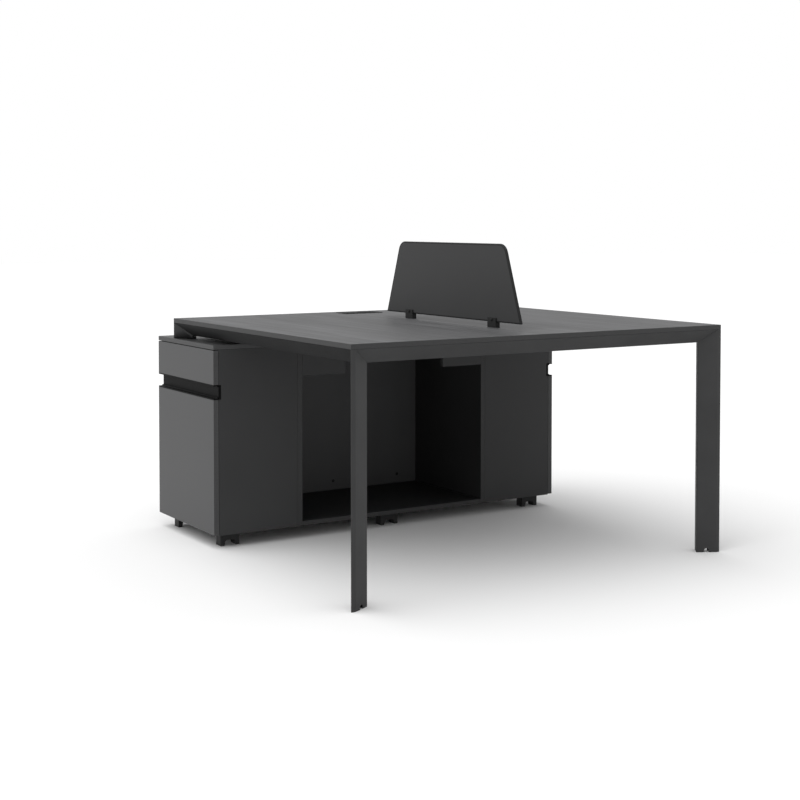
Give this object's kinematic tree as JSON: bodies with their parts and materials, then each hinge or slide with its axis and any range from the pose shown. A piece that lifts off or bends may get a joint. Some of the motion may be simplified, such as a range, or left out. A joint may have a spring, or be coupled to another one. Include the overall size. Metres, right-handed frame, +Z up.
{
  "type": "benching desk for two",
  "caption": "Benching desk with one shared board on a bevelled steel frame, a low dividing screen, and a storage cabinet with drawers and an open niche across one end.",
  "frame": {"origin": "on the floor, under the centre of the part's box", "axes": "+X from one place's long edge to the other's, +Y from the open end to the cabinet, +Z up"},
  "size_m": [1.408, 1.366, 1.018],
  "materials": {
    "desktop_laminate": "dark grey laminate with a faint grain, satin",
    "cabinet_laminate": "dark grey melamine, matt",
    "screen_board": "dark grey board, matt",
    "drawer_board": "dark grey board, matt",
    "frame_paint": "anthracite powder coat, fine texture",
    "black_plastic": "black, moulded",
    "runner_steel": "zinc-plated"
  },
  "bodies": {
    "desk": {"desktop": "desktop_laminate", "near_beam": "frame_paint", "far_beam": "frame_paint", "near_left_leg": "frame_paint", "near_right_leg": "frame_paint", "far_left_leg": "frame_paint", "far_right_leg": "frame_paint", "left_side_rail": "frame_paint", "right_side_rail": "frame_paint", "left_inner_rail": "frame_paint", "right_inner_rail": "frame_paint", "near_left_leg_plug": "black_plastic", "near_right_leg_plug": "black_plastic", "flap_frame": "black_plastic", "screen_panel": "screen_board", "near_clamp": "black_plastic", "far_clamp": "black_plastic", "cabinet_top": "cabinet_laminate", "cabinet_back": "cabinet_laminate", "niche_floor": "cabinet_laminate", "niche_rail": "cabinet_laminate", "left_partition": "cabinet_laminate", "right_partition": "cabinet_laminate", "left_side_panel": "cabinet_laminate", "right_side_panel": "cabinet_laminate", "left_unit_floor": "cabinet_laminate", "right_unit_floor": "cabinet_laminate", "left_channel_rail": "black_plastic", "right_channel_rail": "black_plastic", "near_left_foot": "black_plastic", "near_middle_foot": "black_plastic", "near_right_foot": "black_plastic", "far_left_foot": "black_plastic", "far_middle_foot": "black_plastic", "far_right_foot": "black_plastic", "left_upper_near_runner": "runner_steel", "left_upper_far_runner": "runner_steel", "left_lower_near_runner": "runner_steel", "left_lower_far_runner": "runner_steel", "right_upper_near_runner": "runner_steel", "right_upper_far_runner": "runner_steel", "right_lower_near_runner": "runner_steel", "right_lower_far_runner": "runner_steel"},
    "left_upper_drawer": {"left_upper_drawer_front": "cabinet_laminate", "left_upper_pull": "black_plastic", "left_upper_drawer_box": "drawer_board"},
    "left_lower_drawer": {"left_lower_drawer_front": "cabinet_laminate", "left_lower_pull": "black_plastic", "left_lower_drawer_box": "drawer_board"},
    "right_upper_drawer": {"right_upper_drawer_front": "cabinet_laminate", "right_upper_pull": "black_plastic", "right_upper_drawer_box": "drawer_board"},
    "right_lower_drawer": {"right_lower_drawer_front": "cabinet_laminate", "right_lower_pull": "black_plastic", "right_lower_drawer_box": "drawer_board"},
    "flap_lid": {"flap_lid": "black_plastic"},
    "near_clamp_screw": {"near_clamp_screw": "black_plastic"},
    "far_clamp_screw": {"far_clamp_screw": "black_plastic"},
    "near_left_glide": {"near_left_glide": "black_plastic"},
    "near_right_glide": {"near_right_glide": "black_plastic"}
  },
  "joints": [
    {"name": "left_upper_drawer_slide", "type": "slide", "parent": "desk", "child": "left_upper_drawer", "axis": [-1, 0, 0], "range_m": [0, 0.2]},
    {"name": "left_lower_drawer_slide", "type": "slide", "parent": "desk", "child": "left_lower_drawer", "axis": [-1, 0, 0], "range_m": [0, 0.2]},
    {"name": "right_upper_drawer_slide", "type": "slide", "parent": "desk", "child": "right_upper_drawer", "axis": [1, 0, 0], "range_m": [0, 0.2]},
    {"name": "right_lower_drawer_slide", "type": "slide", "parent": "desk", "child": "right_lower_drawer", "axis": [1, 0, 0], "range_m": [0, 0.2]},
    {"name": "flap_lid_hinge", "type": "hinge", "parent": "desk", "child": "flap_lid", "pos_m": [0, 0.4954, 0.7498], "axis": [-1, 0, 0], "range_deg": [0, 95]},
    {"name": "near_clamp_screw_turn", "type": "hinge", "parent": "desk", "child": "near_clamp_screw", "pos_m": [-0.008, -0.382, 0.775], "axis": [-1, 0, 0], "range_deg": [0, 540]},
    {"name": "far_clamp_screw_turn", "type": "hinge", "parent": "desk", "child": "far_clamp_screw", "pos_m": [-0.008, 0.112, 0.775], "axis": [-1, 0, 0], "range_deg": [0, 540]},
    {"name": "near_left_glide_screw", "type": "slide", "parent": "desk", "child": "near_left_glide", "axis": [0, 0, -1], "range_m": [0, 0.01]},
    {"name": "near_right_glide_screw", "type": "slide", "parent": "desk", "child": "near_right_glide", "axis": [0, 0, -1], "range_m": [0, 0.01]}
  ]
}
